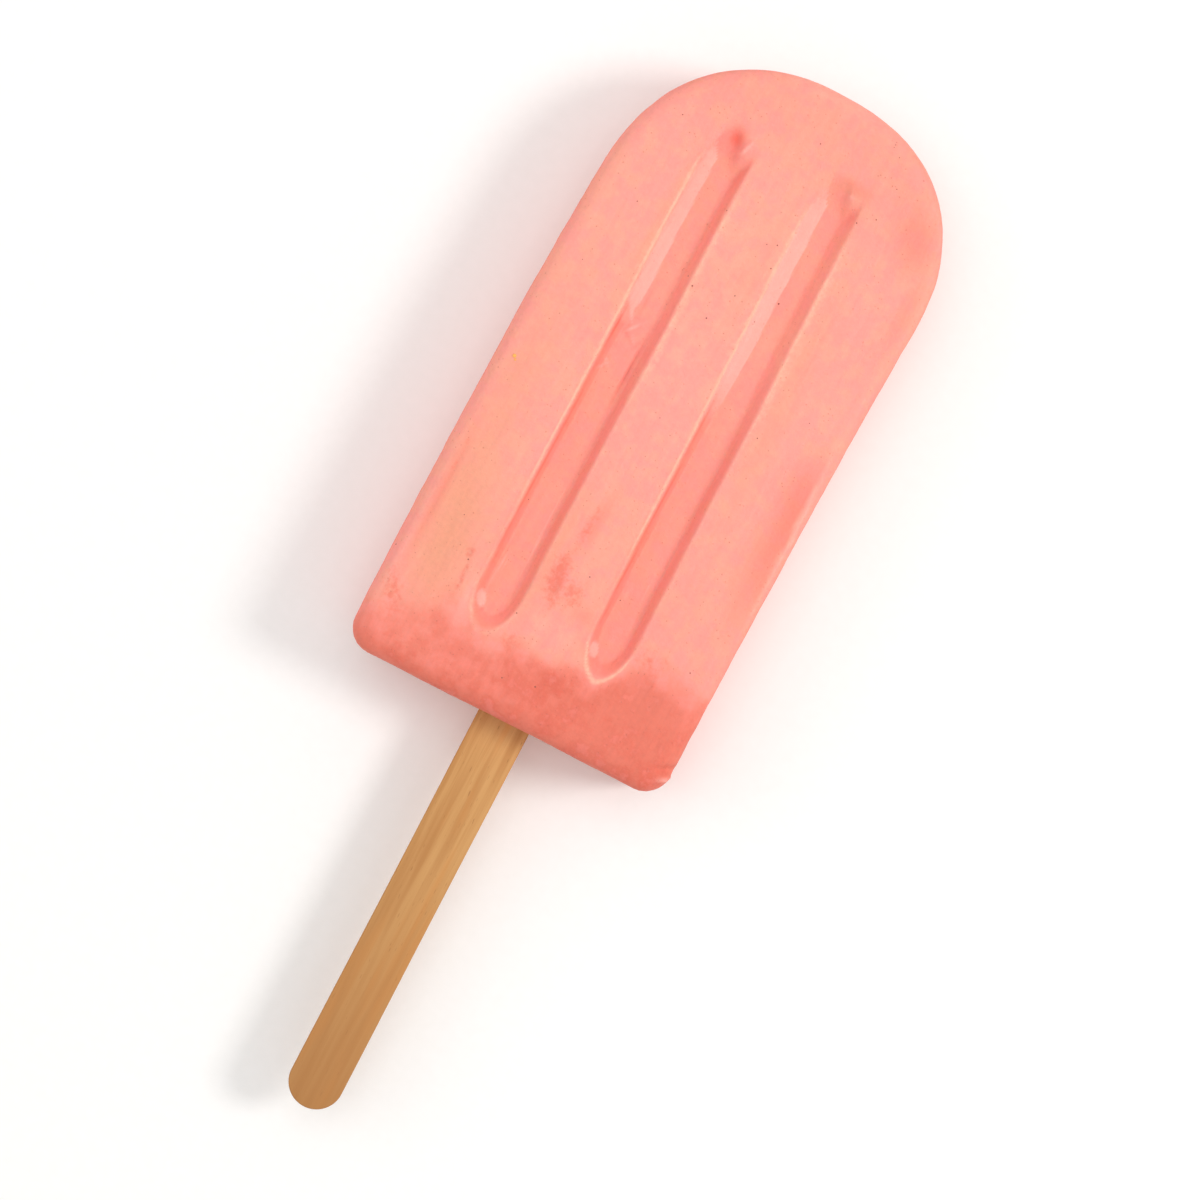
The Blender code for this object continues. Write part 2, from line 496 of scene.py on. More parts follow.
# %% [markdown]
# ## Let it slump
#
# A mould is even, but the bar that came out of it isn't. Its upper half leans a little to one
# side, its base is cut off on a slope, and one side runs in at the bottom. All three are small
# shifts of every point, so they are done here once, to the whole skin.

# %% Slump the skin
TIP_SHIFT = 1.7
LEAN_LENGTH = 55.0
LEAN_POWER = 1.2
BASE_SLOPE = math.tan(math.radians(1.28))
BASE_PINCH = 0.7
PINCH_POWER = 6

below_tip = TIP_Y - skin[:, 1]
up = np.clip(1 - below_tip / LEAN_LENGTH, 0, 1)
down = np.clip((below_tip - ARCH_HEIGHT) / (2 * TIP_Y - ARCH_HEIGHT), 0, 1)
pinch = np.clip(-skin[:, 0] / HALF_WIDTH, 0, 1) * BASE_PINCH * down**PINCH_POWER
skin[:, 1] += BASE_SLOPE * skin[:, 0] * down
skin[:, 0] += TIP_SHIFT * up**LEAN_POWER + pinch
x, y, z = skin.T
below_tip = TIP_Y - y
in_front = ease(0.3, 0.9, skin_facing[:, 2])
behind = ease(0.3, 0.9, -skin_facing[:, 2])
print(f"skin spans x {x.min():.2f} to {x.max():.2f}, y {y.min():.2f} to {y.max():.2f}")

# %% [markdown]
# ## The grooves
#
# Each groove is a long trough with sloping walls, a nearly flat floor and a crease where they
# meet. The trick is one number per point, `share`: 0 on the groove's middle line and 1 on its
# lip. Depth, lip and colour all follow from it.
#
# At the lower end the share grows along the groove as well as across it, so the lip closes in a
# blunt point, which a power below 2 gives. At the upper end the -X lip curves in, and the floor
# runs up to the face on a ramp, as it does where the mould's rib fades out.
#
# Two smooth functions keep the creases from being knife-sharp: `soft_min` and `soft_max`
# round the corner where two slopes cross.

# %% Where a point lies in a groove
# `x` is the middle line and `half` the half width. `top`, `bottom` and `strip` are distances
# below the tip: the groove's ends, and where the painted highlight on its -X wall fades out.
# `ramp` is how long the lower end takes to close, and `ramp_up` where the floor rises at the
# upper end. `glow` makes that painted highlight wider and stronger.
GROOVES = {
    "left": {"x": -10.35, "top": 14.2, "bottom": 107.0, "lean": 0.7, "half": 4.05, "ramp": 7.8,
             "power": 1.9, "ramp_up": (-0.8, 5.2), "strip_tip": 2.4, "strip": (47.0, 50.5),
             "glow": 0.0, "upper_shade": 0.8},
    "right": {"x": 9.77, "top": 13.8, "bottom": 105.2, "lean": 1.2, "half": 3.95, "ramp": 7.8,
              "power": 1.72, "ramp_up": (-2.4, 3.8), "strip_tip": 1.4, "strip": (47.0, 61.0),
              "glow": 0.14, "upper_shade": 0.0},
}


def soft_min(a, b, softness):
    return 0.5 * (a + b - np.sqrt((a - b) ** 2 + softness**2))


def soft_max(a, b, softness):
    return -soft_min(-a, -b, softness)


def ripple(x, y, z, size, seed):
    """Smooth unevenness, mostly between -1 and 1, with lumps `size` millimetres across."""
    dice = np.random.default_rng(seed)
    total = np.zeros_like(x)
    for _ in range(9):
        way = dice.normal(size=3)
        way *= math.pi / size * dice.uniform(0.6, 1.4) / np.linalg.norm(way)
        total += np.sin(way[0] * x + way[1] * y + way[2] * z + dice.uniform(0, 2 * math.pi))
    return total / 3.4


def in_groove(groove, x, y):
    """(share, distance to +X of the middle line, distance below the groove's upper end)."""
    middle_y = TIP_Y - (groove["top"] + groove["bottom"]) / 2
    half_length = (groove["bottom"] - groove["top"]) / 2
    lean = math.radians(groove["lean"])
    off_x, off_y = x - groove["x"], y - middle_y
    across = off_x * math.cos(lean) + off_y * math.sin(lean)
    along = off_y * math.cos(lean) - off_x * math.sin(lean)
    across = across + 0.06 * ripple(x * 0, y, x * 0, 16.0, 3) + 0.035 * ripple(x, y, x * 0, 2.2, 4)
    from_top = half_length - along
    curve_in = ease(7.0, 1.0, from_top) ** 1.5 * ease(0.3, -0.3, across)
    half = groove["half"] * (1 - 0.32 * curve_in)
    past_bottom = np.clip(-along - (half_length - groove["ramp"]), 0, None) / groove["ramp"]
    power = np.where(along > 0, 2.0, groove["power"])
    share = np.abs(across / half) ** power + past_bottom**power
    return share ** (1 / power), across, from_top


front_groove = {name: in_groove(groove, x, y) for name, groove in GROOVES.items()}
print({name: f"share up to {found[0].max():.1f}" for name, found in front_groove.items()})

# %% [markdown]
# The cross-section is two slopes and a floor, and whichever lies highest at a point is what
# shows there. The -X wall is wide and gentle in the upper half and steeper further down. Three
# fine things catch the light: a raised lip just outside the edge, a thin sunk line just inside
# the -X lip, and in the upper half a sharp ridge along the crease.

# %% Sink the grooves
GROOVE_DEPTH = 2.3
WIDE_WALL = 0.33  # the floor's half width on the -X side where its wall is wide
STEEP_WALL = 0.62  # and where it is steep, both as a share
SHADE_WALL = 0.60  # the floor's half width on the +X side


def bell(value, middle, width):
    return np.exp(-(((value - middle) / width) ** 2))


def groove_depth(groove, share, across, from_top, wide):
    """(depth, how far this point is on a wall, from 0 to 1)."""
    left_floor = STEEP_WALL + (WIDE_WALL - STEEP_WALL) * wide
    tip = groove["strip_tip"]
    left_floor = left_floor + (0.78 - left_floor) * ease(tip + 3.0, tip, from_top)
    softer = (1 - groove["upper_shade"]) * ease(50.0, 30.0, from_top)
    right_floor = SHADE_WALL - 0.16 * softer
    floor_share = left_floor + (right_floor - left_floor) * ease(-1, 1, across)
    wall = GROOVE_DEPTH * (1 - share) / (1 - floor_share)
    later = 2.8 * ease(-0.5, 2.5, across)
    ramp_up = GROOVE_DEPTH * ease(*groove["ramp_up"], from_top - later)
    floor = soft_min(GROOVE_DEPTH * (1 + 0.03 * (1 - share)), ramp_up, 0.2)
    on_wall = ease(0.02, 0.22, floor - wall)
    return soft_max(soft_min(wall, floor, 0.10), 0.0, 0.05), on_wall


relief = np.zeros_like(x)
fine_lines = {}
for name, (share, across, from_top) in front_groove.items():
    groove = GROOVES[name]
    t = groove["top"] + from_top
    wide = ease(groove["strip"][1] + 4, groove["strip"][0] - 4, t)
    strip = ease(groove["strip"][1], groove["strip"][0], t + 1.5 * ripple(x, y, z, 3.0, 31))
    minus_x = ease(0.3, -0.6, across)
    depth, on_wall = groove_depth(groove, share, across, from_top, wide)
    lip = bell(share, 1.03, 0.06) * (0.06 + 0.12 * minus_x) * ease(2.0, 6.0, from_top)
    sunk = bell(share, 0.86, 0.035) * minus_x * ease(17.5, 21.0, t) * ease(99.0, 92.0, t)
    sunk *= groove["upper_shade"] + (1 - groove["upper_shade"]) * ease(28.0, 44.0, t)
    ridge = bell(share, WIDE_WALL + 0.05, 0.04) * minus_x * strip * ease(6.0, 9.0, from_top)
    fine_lines[name] = {"t": t, "on_wall": on_wall, "strip": strip, "minus_x": minus_x, "sunk": sunk}
    relief += (lip - depth) * np.maximum(in_front, behind)
    relief += (0.08 * ridge - 0.10 * sunk) * in_front
print(f"grooves sink the face by up to {-relief.min():.2f} mm")

# %% [markdown]
# ## Marks of the hand and the freezer
#
# Up close no part of the face is flat. There is a dimple where the left groove begins, a
# wrinkle and a fine crack in its floor, and a folded nick at the corner. Each one is a
# stretched bump or hollow: a place, how wide and how long it is, how far it is turned, and its
# height. Large soft lumps and a fine grain go over all of it.

# %% Press the marks in
def mound(x, y, place_x, below, wide, long, turn, crisp=1.0):
    """1 in the middle of a stretched mound and 0 well outside it. Turn is in degrees."""
    angle = math.radians(turn)
    off_x, off_y = x - place_x, y - (TIP_Y - below)
    across = off_x * math.cos(angle) + off_y * math.sin(angle)
    along = off_y * math.cos(angle) - off_x * math.sin(angle)
    return np.exp(-(((across / wide) ** 2 + (along / long) ** 2) ** crisp))


# X, millimetres below the tip, half width, half length, turn in degrees, height.
FACE_MARKS = [
    (-11.0, 15.2, 1.2, 1.6, 20, -0.85),  # dimple at the top of the left groove
    (-8.8, 15.9, 0.45, 1.6, -16, 0.50),  # and the curl beside it
    (-9.9, 17.2, 0.9, 0.45, 0, 0.18),
    (10.2, 14.9, 1.0, 0.8, 0, 0.24),  # soft lump at the top of the right groove
    (8.6, 14.4, 0.7, 0.5, 40, 0.14),
    (11.8, 15.2, 0.5, 0.9, -20, -0.16),
    (-13.9, 50.0, 0.26, 3.4, 2, -0.24),  # slit under the left lip
    (-12.3, 48.9, 0.26, 1.9, 30, 0.20),  # wrinkles in the left groove
    (-11.2, 50.6, 0.30, 1.7, -38, 0.20),
    (-11.9, 52.4, 0.26, 1.5, 62, -0.18),
    (-10.4, 53.2, 0.26, 2.0, 28, -0.14),
    (-12.6, 56.4, 0.50, 1.2, 50, 0.14),
    (-13.0, 58.3, 0.40, 1.0, -30, -0.10),
    (-8.55, 57.4, 0.22, 5.6, -1, -0.45),  # fine crack beside its floor
    (-8.9, 51.4, 0.18, 0.9, 8, -0.16),
    (-7.7, 58.5, 0.35, 2.6, -2, 0.12),
    (-8.35, 88.0, 0.17, 11.0, 1, 0.16),  # drawn line along its lower crease
    (-12.0, 96.5, 0.20, 4.5, -3, 0.14),
    (-11.3, 95.0, 0.16, 4.0, -3, 0.10),
    (11.4, 86.5, 0.18, 6.0, 2, 0.10),  # the same in the right groove
    (12.6, 84.0, 0.22, 10.0, 2, -0.08),
    (8.8, 90.0, 0.7, 2.2, 0, 0.10),
    (-12.1, 102.3, 0.75, 1.7, 26, 0.16),  # raised facets at the lower ends
    (8.3, 100.8, 0.72, 1.6, 22, 0.16),
    (-16.5, 100.6, 0.22, 3.2, 4, -0.20),  # short gouge left of the left groove
    (-17.1, 97.8, 0.22, 1.0, 0, -0.18),
    (-14.5, 104.0, 0.7, 6.0, 3, 0.10),
    (-2.4, 94.0, 1.6, 5.2, 8, -0.12),  # scuffs between the grooves
    (1.5, 102.0, 4.8, 3.2, 0, 0.12),
    (16.5, 104.0, 0.4, 2.2, 60, 0.08),
    (15.4, 109.5, 0.3, 2.6, -50, -0.08),
    (-21.0, 110.5, 3.0, 1.0, -20, -0.08),
    (21.8, 15.5, 3.4, 5.0, 32, -0.22),
    (-27.5, 94.0, 0.55, 20.0, 0, 0.13),  # raised line along the left edge
    (-26.3, 90.0, 0.35, 12.0, 0, -0.08),
    (29.0, 114.3, 0.40, 1.6, -62, 0.60),  # the fold at the corner
    (28.5, 112.9, 0.60, 1.8, -58, -1.05),
    (26.8, 115.6, 0.40, 1.4, -40, -0.20),
    (26.2, 117.0, 1.2, 1.4, -30, 0.16),
]
near_front = ease(-0.15, 0.45, skin_facing[:, 2])

for *spot, height in FACE_MARKS:
    relief += near_front * height * mound(x, y, *spot)
print(f"{len(FACE_MARKS)} marks; relief now {relief.min():.2f} to {relief.max():.2f} mm")

# %% [markdown]
# A thumb pressed the right edge. The ice there has sunk a little, gently from the middle and
# with a sudden bumpy step up to the rim, so it isn't a mound but two slopes multiplied.

# %% Press the right edge, and roughen the rest
STEP_X = 28.0
PRESS_DEPTH = 0.34

bumpy_step = STEP_X + 0.16 * ripple(x * 0, y, x * 0, 2.4, 15) + 0.25 * ripple(x * 0, y, x * 0, 11.0, 16)
beside_edge = ease(50.0, 64.0, below_tip) * ease(99.0, 68.0, below_tip)
pressed = ease(20.5, 27.6, x) * ease(bumpy_step + 0.40, bumpy_step - 0.10, x) * beside_edge
relief -= PRESS_DEPTH * pressed * near_front
relief += 0.10 * bell(x, bumpy_step + 0.55, 0.35) * beside_edge * near_front

crinkle = mound(x, y, -2.3, 91.5, 1.9, 8.5, 6) + 0.6 * mound(x, y, 0.6, 95.0, 2.4, 3.0, 0)
crinkle += 0.5 * mound(x, y, -4.5, 106.0, 2.0, 2.0, 0)
relief += 0.075 * ripple(x, y, z, 0.8, 17) * crinkle * in_front
relief += 0.10 * ripple(x, y, z, 17.0, 11) * in_front
relief -= 0.10 * np.abs(ripple(x, y, z, 15.0, 12)) * (1 - in_front)
relief += 0.035 * ripple(x, y, z, 3.2, 13) * (1 - behind)
relief += 0.014 * ripple(x, y, z, 1.1, 14) * (1 - behind)
print(f"edge pressed {pressed.max() * PRESS_DEPTH:.2f} mm; relief {relief.min():.2f} to {relief.max():.2f} mm")

# %% [markdown]
# Where the stick goes in, water ran along the wood and froze into a shallow collar. It is a
# dip in the middle of the base wall, made with the same kind of mound.

# %% The dip round the stick
STICK_X = 0.9
DIP_DEPTH = 0.45
DIP_HALF_WIDTH = 4.6
LIP_ROOM = 0.2  # how far lips and lumps may stand above the plain solid

faces_base = ease(0.6, 0.95, -skin_facing[:, 1])
dip = np.exp(-(np.clip(np.abs(x - STICK_X) - DIP_HALF_WIDTH, 0, None) / 1.3) ** 2 - ((z - THICK / 2) / 2.6) ** 2)
relief -= DIP_DEPTH * dip * faces_base
skin_final = skin + skin_facing * relief[:, None]
skin_final[:, 2] = np.clip(skin_final[:, 2], 0.0, THICK + LIP_ROOM)
print(f"dip {DIP_DEPTH} mm deep; bar z {skin_final[:, 2].min():.2f} to {skin_final[:, 2].max():.2f}")

# %% [markdown]
# ## Where the frost is, and where it has gone
#
# The bar is one salmon pink all through. What makes it look real is its skin: a dry pale frost
# over most of the face, and bare redder ice where it was handled, rubbed or started to melt.
# Here and there the frost is yellower.
#
# These areas belong to places on the bar, so they are worked out per point, as soft maps from
# 0 to 1, and stored on the mesh as attributes. The material then breaks their edges up. In
# order they are: the wet stick end, with painted shade on the rounded base; frost worn thin,
# with painted shade inside the grooves, in hollows and cracks, along the edges and near the
# tip; rubbed and crinkled skin; thick frost, with painted highlights on raised marks and on the
# -X groove walls; yellow frost, with a little painted shade at the right groove's upper end;
# and painted highlights along every lip.

# %% Map the melted end and the painted shade along the base
FROST_LINE_X = (-30, -26, -20, -16.5, -13, -6.5, -3.2, 8.5, 11.0, 15.0, 20.0, 30)
FROST_LINE_BELOW = (111, 109.5, 107, 104, 107, 107.5, 106.4, 106.4, 107, 101.5, 100.0, 101.0)

frost_line = np.interp(x, FROST_LINE_X, FROST_LINE_BELOW) + 0.8 * ripple(x, y, z, 2.6, 21)
fade = 3.8 + 3.4 * ease(-8.0, -18.0, x) + 3.0 * ease(12.0, 20.0, x)
melt_and_edge_shade = (0.62 + 0.30 * ease(-20.0, 14.0, x)) * ease(-fade, fade, below_tip - frost_line)
melt_and_edge_shade += 0.12 * ease(105, 113, below_tip) * ease(4.0, 20.0, x)
# Painted shade: the rounded base, and the rounded front edge in the lower part, are made darker.
melt_and_edge_shade += 0.30 * ease(114.5, 119, below_tip)
front_edge = ease(0.0, 1.0, 1 - skin_facing[:, 2])
melt_and_edge_shade = np.maximum(melt_and_edge_shade, 0.42 * front_edge * ease(85.0, 118.0, below_tip))
clean_patch = mound(x, y, 1.3, 101.4, 5.3, 4.3, 0, 3.0)
melt_and_edge_shade *= 1 - 0.9 * clean_patch
print(f"melted ice covers {100 * np.mean(melt_and_edge_shade[in_front > 0.5] > 0.4):.0f}% of the face")

# %% Map the worn places and the painted shade in hollows
WORN_AND_SHADED = [
    # X, below the tip, half width, half length, turn, strength
    (-1.2, 83.0, 1.3, 6.0, -6, 0.30),
    (4.3, 97.0, 1.6, 1.4, 0, 0.25),
    (-26.4, 90.0, 0.9, 12.0, 0, 0.30),
    (23.5, 16.5, 4.2, 5.5, 32, 0.34),
    (27.5, 28.0, 1.6, 9.0, 0, 0.25),
    # From here on mostly painted shade: the dimple, the shaded upper ends and +X walls of the grooves, the
    # hollow of the corner fold, the crack, the slit and the wrinkles.
    (-11.0, 15.4, 1.5, 1.9, 20, 0.85),
    (-7.4, 19.5, 0.7, 3.2, -6, 0.45),
    (11.9, 17.6, 0.8, 1.6, 0, 0.45),
    (10.2, 13.2, 3.2, 1.3, 0, 0.22),
    (28.5, 112.8, 0.9, 1.9, -58, 0.95),
    (-8.55, 57.4, 0.34, 5.8, -1, 0.90),
    (-11.7, 52.2, 0.34, 1.8, 50, 0.45),
    (-12.0, 50.2, 0.30, 1.4, -10, 0.40),
    (-9.2, 52.8, 0.36, 1.6, -25, 0.40),
    (-13.9, 50.0, 0.34, 3.6, 2, 0.50),
    (-11.5, 46.0, 0.30, 2.4, 0, 0.35),
    (-6.0, 47.0, 0.9, 6.0, 0, 0.12),
]
SCUFFS = [
    (-2.4, 93.4, 1.9, 5.4, 8, 0.90),
    (0.6, 94.5, 2.8, 3.0, 0, 0.62),
    (-2.0, 84.0, 1.2, 4.6, -4, 0.55),
    (-4.6, 106.2, 1.8, 2.0, 10, 0.45),
    (-16.5, 100.4, 0.45, 3.8, 4, 0.60),
    (-17.2, 96.4, 0.8, 1.4, 20, 0.60),
    (-25.4, 108.0, 1.8, 5.5, 30, 0.55),
    (17.5, 98.5, 3.2, 2.4, 0, 0.50),
    (-26.4, 86.0, 0.6, 8.0, 0, 0.34),
    (8.8, 108.0, 3.0, 1.4, 10, 0.20),
]


def painted(spots):
    """The strongest of the spots at each point."""
    total = np.zeros_like(x)
    for *spot, strength in spots:
        total = np.maximum(total, strength * mound(x, y, *spot))
    return total


# Painted shade as well: the rounded edges and sides all round, the lower face towards +X, and the face near the
# tip, where it curves away. The pressed strip by the right edge is darker too.
thin_frost_and_shade = np.maximum(painted(WORN_AND_SHADED) * near_front, 0.34 * front_edge)
thin_frost_and_shade += 0.10 * ease(66.0, 100.0, below_tip) * ease(-14.0, 8.0, x)
thin_frost_and_shade += 0.12 * ease(22.0, 6.0, below_tip)
thin_frost_and_shade = np.maximum(thin_frost_and_shade, 0.55 * pressed * near_front)
scuff = painted(SCUFFS) * near_front
print(f"{len(WORN_AND_SHADED)} worn places and {len(SCUFFS)} scuffs")

# %% [markdown]
# Thick frost lies on the face in broad patches, and painted highlights go on everything raised:
# wrinkles, facets, drawn lines and the edges.
#
# Inside the grooves the frost is thin, and the colour carries painted shade: the floor is
# slightly redder than the face and the wall towards +X redder still. The other wall has a
# painted highlight in its upper half, most of all towards the crease, and painted shade further
# down. Painted highlights run along the lips.

# %% Map the thick frost and the painted highlights on raised marks
FROSTED_AND_HIGHLIGHTED = [
    # X, below the tip, half width, half length, turn, crispness if not 1, strength
    (1.3, 101.6, 4.9, 3.4, 0, 2.0, 0.34),
    # From here to the fold at the corner: painted highlights on raised marks.
    (-14.4, 103.6, 0.9, 6.4, 3, 0.42),
    (-12.1, 102.3, 0.85, 1.7, 26, 3.0, 0.85),
    (8.45, 100.9, 0.80, 1.6, 22, 3.0, 0.90),
    (-8.35, 88.0, 0.24, 9.0, 1, 0.55),
    (-12.0, 96.5, 0.26, 4.5, -3, 0.50),
    (-11.3, 95.0, 0.20, 4.0, -3, 0.30),
    (11.4, 86.5, 0.28, 6.0, 2, 0.34),
    (8.8, 90.0, 0.8, 2.4, 0, 0.35),
    (-8.7, 16.0, 0.45, 1.7, -16, 1.5, 0.65),
    (-9.6, 17.3, 0.9, 0.35, 10, 0.40),
    (10.4, 14.8, 0.8, 0.7, 0, 0.50),
    (-12.2, 54.5, 1.3, 5.0, 0, 0.26),
    (-12.4, 49.2, 0.36, 2.0, 30, 0.80),
    (-11.3, 50.8, 0.36, 1.8, -38, 0.80),
    (-10.3, 52.6, 0.34, 1.6, 35, 0.60),
    (-12.5, 57.8, 0.36, 1.2, 50, 0.66),
    (-13.0, 58.9, 0.34, 0.9, -40, 0.60),
    (-27.4, 96.0, 0.9, 18.0, 0, 0.42),
    (28.9, 114.4, 0.45, 1.6, -62, 0.75),
    # Thick frost over the middle of the face.
    (3.0, 48.0, 24.0, 24.0, 0, 1.5, 0.24),
]

# Painted highlight: a light line along the raised rim beside the pressed step.
pale = 0.5 * bell(x, bumpy_step + 0.6, 0.5) * beside_edge
pale = np.maximum(pale, 0.38 * ease(6.0, 0.0, below_tip))
pale = np.maximum(pale, painted(FROSTED_AND_HIGHLIGHTED))
print(f"{len(FROSTED_AND_HIGHLIGHTED)} places of thick frost")

# %% Map the painted shade and highlights in the grooves
rim = np.zeros_like(x)
for name, (share, across, from_top) in front_groove.items():
    lines, upper_shade = fine_lines[name], GROOVES[name]["upper_shade"]
    t, strip, minus_x, on_wall = lines["t"], lines["strip"], lines["minus_x"], lines["on_wall"]
    # Painted shade: the inside of each groove redder, and its +X wall, the -X wall in the lower half and the
    # sunk line under the -X lip redder still.
    inside = ease(1.0, 0.88, share) * ease(0.5, 4.5, from_top)
    shade_wall = inside * on_wall * (1 - minus_x) * (upper_shade + (1 - upper_shade) * ease(46, 66, t))
    steep_wall = inside * on_wall * minus_x * (1 - strip)
    # Painted highlight: the -X wall in the upper half, which faces the light, is made paler; glow makes it wider
    # and stronger.
    tip, glow = GROOVES[name]["strip_tip"], GROOVES[name]["glow"]
    strip_wall = on_wall * ease(0.99 + 0.4 * glow, 0.93 + 0.4 * glow, share) * minus_x * strip
    strip_wall *= ease(tip - 0.5, tip + 0.3, from_top)
    melt_and_edge_shade *= 1 - 0.75 * inside
    thin_frost_and_shade = thin_frost_and_shade * (1 - 0.5 * inside) + 0.20 * inside * (1 - 0.8 * strip_wall)
    thin_frost_and_shade += 0.13 * shade_wall + 0.22 * steep_wall + 0.42 * lines["sunk"] * in_front
    pale = pale + (0.50 + glow + 0.5 * (0.9 - share)) * strip_wall
    # Painted highlights along the lips, strongest on the -X lips, whose walls face the light, with a soft band
    # outside them.
    edge = bell(share, 1.05, 0.060)
    outside = bell(share, 1.05, 0.30) * ease(1.0, 1.1, share) * ease(16.0, 30.0, t)
    rim += edge * (0.8 * minus_x * ease(18.0, 24.0, t) * ease(92.0, 76.0, t))
    rim += edge * (0.18 * (1 - minus_x)) * ease(100.0, 90.0, t) * ease(20.0, 28.0, t)
    rim += edge * ease(97.0, 101.5, t) * (0.8 if name == "right" else 0.35)
    rim += outside * (0.26 + 0.24 * (1 - minus_x)) * ease(66.0, 50.0, t)
print(f"frost stands on the lips up to {rim.max():.2f}")

# %% Map the yellow frost and a little painted shade, and keep the maps
YELLOWED_AND_SHADED = [
    # X, below the tip, half width, half length, turn, strength
    (-21.5, 97.0, 5.5, 15.0, 6, 0.85),
    (-24.0, 70.0, 4.0, 22.0, 0, 0.45),
    (16.5, 52.0, 2.6, 26.0, 2, 0.45),
    (-5.0, 90.0, 1.2, 14.0, 0, 0.60),
    (2.0, 35.0, 3.0, 12.0, 0, 0.30),
    (-15.8, 36.0, 1.2, 16.0, 0, 0.45),
    # Painted shade: the upper end of the right groove, made browner.
    (9.6, 13.6, 3.2, 1.2, 0, 0.60),
    (12.8, 20.0, 0.8, 6.0, 0, 0.35),
]

peach = np.zeros_like(x)
for *spot, strength in YELLOWED_AND_SHADED:
    peach += strength * mound(x, y, *spot)
peach *= ease(-29.2, -26.0, x)
maps = {"melt_and_edge_shade": melt_and_edge_shade, "thin_frost_and_shade": thin_frost_and_shade, "scuff": scuff, "pale": pale * near_front, "peach": peach, "rim": rim}
maps = {name: np.clip(values, 0, 1) * (1 - behind) for name, values in maps.items()}
maps["thin_frost_and_shade"] += 0.3 * behind
print({name: round(float(values.mean()), 3) for name, values in maps.items()})

# %% [markdown]
# ## Make the bar
#
# The points and squares become one mesh, shaded smooth, with its six maps as attributes. It
# stands in for the plain solid, which is hidden, in the same place and at the same size.

# %% Build the mesh of the bar
def mesh_object(name, points_mm, faces):
    mesh = bpy.data.meshes.new(name)
    mesh.from_pydata((np.asarray(points_mm) * MM).tolist(), [], [list(face) for face in faces])
    mesh.shade_smooth()
    return put_in_scene(name, mesh)


bar = mesh_object("frozen_bar", skin_final, skin_quads.tolist())
for name, values in maps.items():
    layer = bar.data.attributes.new(name, "FLOAT", "POINT")
    layer.data.foreach_set("value", values.astype(np.float32))
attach(bar, "root")
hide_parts("ice_bar")
print("frozen_bar:", len(bar.data.vertices), "points,", len(bar.data.polygons), "squares")

# %% [markdown]
# ## The look of frozen fruit ice
#
# The colour starts from frost, mottled between a pink and a peach by noise at two sizes. The
# maps then move it: to thinner frost and painted shade, to melted red ice and painted shade, to
# rubbed skin, to thick white frost and painted highlights, to yellow frost, or to painted
# highlights along the lips. All the maps but the yellow one have noise added first, so their
# edges are ragged and grainy like real frost and not airbrushed.
#
# Ice lets light in a little way, so a small share of subsurface scattering softens the edges.
# The relief of the frost, finer than the mesh can hold, is a bump, with pores sunk into it.

# %% Fruit ice colours
FROST_PINK = srgb(250, 159, 148)
FROST_PEACH = srgb(248, 166, 146)
# Thin frost, and the painted shade in grooves, hollows and along the edges.
THIN_FROST_AND_SHADE = srgb(240, 112, 96)
# Melted ice, and the painted shade along the base.
MELTED_AND_EDGE_SHADE = srgb(226, 122, 102)
DEEP_RED = srgb(219, 102, 83)
RUBBED = srgb(232, 120, 100)
# Thick frost, and painted highlights on raised marks and groove walls.
THICK_FROST_AND_HIGHLIGHT = srgb(253, 178, 166)
# Yellow frost, and a little painted shade.
YELLOW_FROST_AND_SHADE = srgb(233, 158, 128)
# Painted highlight along the lips.
LIP_HIGHLIGHT = srgb(252, 188, 162)
PORE = srgb(206, 120, 102)
print("linear green, frost to melted ice:", round(FROST_PINK[1], 2), "to", round(MELTED_AND_EDGE_SHADE[1], 2))

# %% Noise and maps for the material
ice, tree, shader = new_material("fruit_ice")
place = node(tree, "ShaderNodeTexCoord").outputs["Object"]
melt_and_edge_shade_map, thin_frost_and_shade_map, scuff_map, pale_map, peach_map, rim_map = (
    node(tree, "ShaderNodeAttribute", {"attribute_name": name}).outputs["Fac"] for name in maps
)
clouds = grain(tree, place, 15.0, 3.0)
blotches = grain(tree, place, 3.2, 4.0, 0.6)
crystals = grain(tree, place, 0.75, 3.0, 0.6)
drawn = grain(tree, place, 1.1, 3.0, 0.6, stretch=(1, 12, 1))
print("maps read by the material:", ", ".join(maps))


# %% Ragged edges
def around_zero(noise, amount):
    return times_plus(tree, noise, amount, -amount / 2)


def ragged(area, roughen, low, high):
    """Cuts a soft map off along a broken line, where noise pushes it over the threshold."""
    pushed = math_node(tree, "ADD", area, times(tree, roughen, ramp(tree, area, 0.0, 0.2)))
    return ramp(tree, pushed, low, high)


coarse = math_node(tree, "ADD", around_zero(blotches, 0.75), around_zero(crystals, 0.30))
fine_rough = math_node(tree, "ADD", around_zero(crystals, 1.4), around_zero(blotches, 0.5))
# The melt and thin-frost maps also carry painted shade, and the thick-frost and lip maps painted highlights.
melt_and_edge_shade_share = times(tree, ragged(melt_and_edge_shade_map, coarse, 0.02, 0.96), 0.94)
scuff_share = times(tree, ragged(scuff_map, fine_rough, 0.16, 0.95), 0.80)
pale_share = times(tree, ragged(pale_map, around_zero(blotches, 0.6), 0.10, 0.95), 0.95)
rim_share = times(tree, ragged(rim_map, around_zero(crystals, 0.7), 0.05, 0.90), 0.85)
thin_frost_and_shade_share = times_plus(tree, ramp(tree, thin_frost_and_shade_map, 0.0, 0.3), around_zero(blotches, 0.3), thin_frost_and_shade_map)
print("all maps but peach roughened")

# %% Fruit ice material
PORE_SPACING = 0.9

